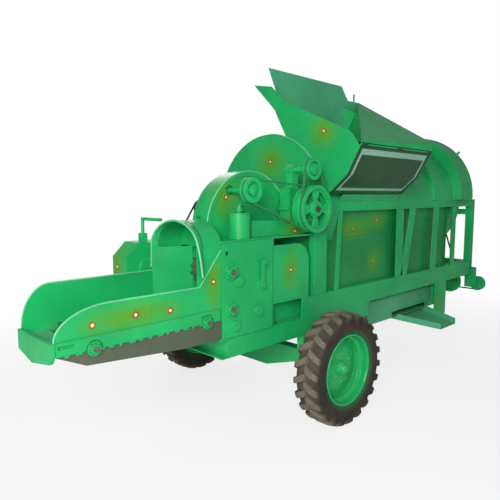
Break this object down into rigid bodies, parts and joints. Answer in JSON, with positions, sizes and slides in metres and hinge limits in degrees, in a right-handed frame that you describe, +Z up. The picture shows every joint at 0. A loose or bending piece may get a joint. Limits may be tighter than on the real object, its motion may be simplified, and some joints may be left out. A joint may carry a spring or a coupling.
{
  "type": "threshing machine",
  "caption": "Wheeled threshing machine with a slatted feed trough, hooded feed rollers, a long round drum casing, top hopper, hung sieve, rear blower housing and belt drives.",
  "frame": {"origin": "on the ground, below the middle of the machine's length and width", "axes": "+X to the rear end with the drive shaft, -Y to the side with the banner door and the belt pulleys, +Z up"},
  "size_m": [4.95, 1.814, 2.59],
  "materials": {
    "green_paint": "gloss enamel, dusty",
    "dark_green_paint": "satin",
    "dusty_sheet": "worn and dusty",
    "tyre_rubber": "dusty tread",
    "belt_rubber": "matte",
    "oiled_steel": "oiled, turned",
    "worn_steel": "worn bright by the crop"
  },
  "bodies": {
    "frame": {"axle_beam": "green_paint", "bearings": "green_paint", "belly_sheet": "dusty_sheet", "bevel_housing": "green_paint", "body_panels": "green_paint", "casing_front_plate": "green_paint", "casing_shell": "green_paint", "chassis_rails": "green_paint", "chopper_housing": "green_paint", "concave": "worn_steel", "cross_members": "green_paint", "drive_belts": "belt_rubber", "drive_chains": "oiled_steel", "far_trough_wall": "green_paint", "feed_deck": "green_paint", "feed_gearbox": "green_paint", "feed_hood": "green_paint", "frame_brackets": "green_paint", "front_table": "green_paint", "gear_head_plate": "green_paint", "hopper_cover": "green_paint", "hopper_far_wall": "green_paint", "hopper_front_wall": "green_paint", "near_trough_wall": "green_paint", "posts": "green_paint", "pressure_unit": "green_paint", "rear_scroll": "green_paint", "reduction_cover": "green_paint", "reduction_frame": "green_paint", "slat_chain": "worn_steel", "throat_plates": "green_paint", "top_beams": "green_paint", "trough_bed": "worn_steel", "trough_end_plate": "green_paint"},
    "rotor": {"main_shaft": "oiled_steel", "threshing_drum": "green_paint", "blower_fan": "green_paint"},
    "cross_drive": {"cross_shaft": "oiled_steel", "big_pulley": "green_paint"},
    "counter": {"counter_shaft": "green_paint"},
    "chopper": {"chopper_cylinder": "green_paint"},
    "feed_counter": {"feed_countershaft": "green_paint"},
    "reduction": {"reduction_gear": "oiled_steel"},
    "upper_roller": {"upper_feed_roller": "worn_steel"},
    "lower_roller": {"lower_feed_roller": "worn_steel"},
    "conveyor_rear": {"rear_conveyor_roller": "green_paint"},
    "conveyor_front": {"front_conveyor_roller": "green_paint"},
    "eccentric": {"eccentric_shaft": "green_paint"},
    "jack": {"jack_pulley": "green_paint"},
    "sieve": {"sieve_box": "green_paint"},
    "near_hanger_pair": {"near_hangers": "green_paint"},
    "far_hanger_pair": {"far_hangers": "green_paint"},
    "stand": {"prop_stand": "green_paint"},
    "door": {"banner_door": "dark_green_paint"},
    "shift": {"shift_lever": "green_paint"},
    "stop": {"stop_lever": "green_paint"},
    "near_wheel": {"near_tyre": "tyre_rubber", "near_rim": "green_paint"},
    "far_wheel": {"far_tyre": "tyre_rubber", "far_rim": "green_paint"}
  },
  "joints": [
    {"name": "rotor_spin", "type": "hinge", "parent": "frame", "child": "rotor", "pos_m": [0, 0, 1.5], "axis": [1, 0, 0], "continuous": true},
    {"name": "cross_spin", "type": "hinge", "parent": "frame", "child": "cross_drive", "pos_m": [-0.635, 0, 1.5], "axis": [0, 1, 0], "continuous": true},
    {"name": "counter_spin", "type": "hinge", "parent": "frame", "child": "counter", "pos_m": [-0.675, 0, 1.772], "axis": [0, 1, 0], "continuous": true},
    {"name": "chopper_spin", "type": "hinge", "parent": "frame", "child": "chopper", "pos_m": [-0.77, 0, 1.01], "axis": [0, 1, 0], "continuous": true},
    {"name": "feed_counter_spin", "type": "hinge", "parent": "frame", "child": "feed_counter", "pos_m": [-1.21, 0, 1.626], "axis": [0, 1, 0], "continuous": true},
    {"name": "reduction_spin", "type": "hinge", "parent": "frame", "child": "reduction", "pos_m": [-1.11, 0, 1.49476], "axis": [0, 1, 0], "continuous": true},
    {"name": "upper_roller_spin", "type": "hinge", "parent": "frame", "child": "upper_roller", "pos_m": [-1.355, 0, 1.13], "axis": [0, 1, 0], "continuous": true},
    {"name": "lower_roller_spin", "type": "hinge", "parent": "frame", "child": "lower_roller", "pos_m": [-1.355, 0, 0.9], "axis": [0, 1, 0], "continuous": true},
    {"name": "conveyor_rear_spin", "type": "hinge", "parent": "frame", "child": "conveyor_rear", "pos_m": [-1.54, 0, 0.848], "axis": [0, 1, 0], "continuous": true},
    {"name": "conveyor_front_spin", "type": "hinge", "parent": "frame", "child": "conveyor_front", "pos_m": [-2.255, 0, 0.848], "axis": [0, 1, 0], "continuous": true},
    {"name": "eccentric_spin", "type": "hinge", "parent": "frame", "child": "eccentric", "pos_m": [0, -0.3, 0.59], "axis": [1, 0, 0], "continuous": true},
    {"name": "jack_spin", "type": "hinge", "parent": "frame", "child": "jack", "pos_m": [0, -0.58, 0.59], "axis": [1, 0, 0], "continuous": true},
    {"name": "sieve_slide", "type": "slide", "parent": "frame", "child": "sieve", "axis": [0, 1, 0], "range_m": [-0.012, 0.012]},
    {"name": "near_hanger_swing", "type": "hinge", "parent": "frame", "child": "near_hanger_pair", "pos_m": [0, -0.507, 0.686], "axis": [1, 0, 0], "range_deg": [-3.7, 3.7]},
    {"name": "far_hanger_swing", "type": "hinge", "parent": "frame", "child": "far_hanger_pair", "pos_m": [0, 0.507, 0.686], "axis": [1, 0, 0], "range_deg": [-3.7, 3.7]},
    {"name": "stand_fold", "type": "hinge", "parent": "frame", "child": "stand", "pos_m": [1.445, 0.6, 0.79], "axis": [0, -1, 0], "range_deg": [0, 90]},
    {"name": "door_hinge", "type": "hinge", "parent": "frame", "child": "door", "pos_m": [0.08, -0.868, 1.94], "axis": [-1, 0, 0], "range_deg": [0, 120]},
    {"name": "shift_pivot", "type": "hinge", "parent": "frame", "child": "shift", "pos_m": [-1.095, -0.59, 1.0209], "axis": [0, 1, 0], "range_deg": [-15, 15]},
    {"name": "stop_pivot", "type": "hinge", "parent": "frame", "child": "stop", "pos_m": [-1.595, 0.025, 1.328], "axis": [0, 1, 0], "range_deg": [-15, 15]},
    {"name": "near_wheel_spin", "type": "hinge", "parent": "frame", "child": "near_wheel", "pos_m": [-0.555, -0.81, 0.395], "axis": [0, 1, 0], "continuous": true},
    {"name": "far_wheel_spin", "type": "hinge", "parent": "frame", "child": "far_wheel", "pos_m": [-0.555, 0.81, 0.395], "axis": [0, 1, 0], "continuous": true}
  ],
  "couplings": [
    {"joint": "cross_spin", "follows": "rotor_spin", "ratio": 1},
    {"joint": "counter_spin", "follows": "rotor_spin", "ratio": 2.1733},
    {"joint": "chopper_spin", "follows": "rotor_spin", "ratio": 1.3333},
    {"joint": "feed_counter_spin", "follows": "rotor_spin", "ratio": 2.0897},
    {"joint": "reduction_spin", "follows": "rotor_spin", "ratio": -0.52244},
    {"joint": "upper_roller_spin", "follows": "rotor_spin", "ratio": -0.52244},
    {"joint": "lower_roller_spin", "follows": "rotor_spin", "ratio": 0.52244},
    {"joint": "conveyor_rear_spin", "follows": "rotor_spin", "ratio": 0.80375},
    {"joint": "conveyor_front_spin", "follows": "rotor_spin", "ratio": 0.80375},
    {"joint": "eccentric_spin", "follows": "rotor_spin", "ratio": 0.91667},
    {"joint": "jack_spin", "follows": "rotor_spin", "ratio": 0.91667},
    {"joint": "near_hanger_swing", "follows": "sieve_slide", "rad_per_m": 5.2632},
    {"joint": "far_hanger_swing", "follows": "sieve_slide", "rad_per_m": 5.2632}
  ]
}
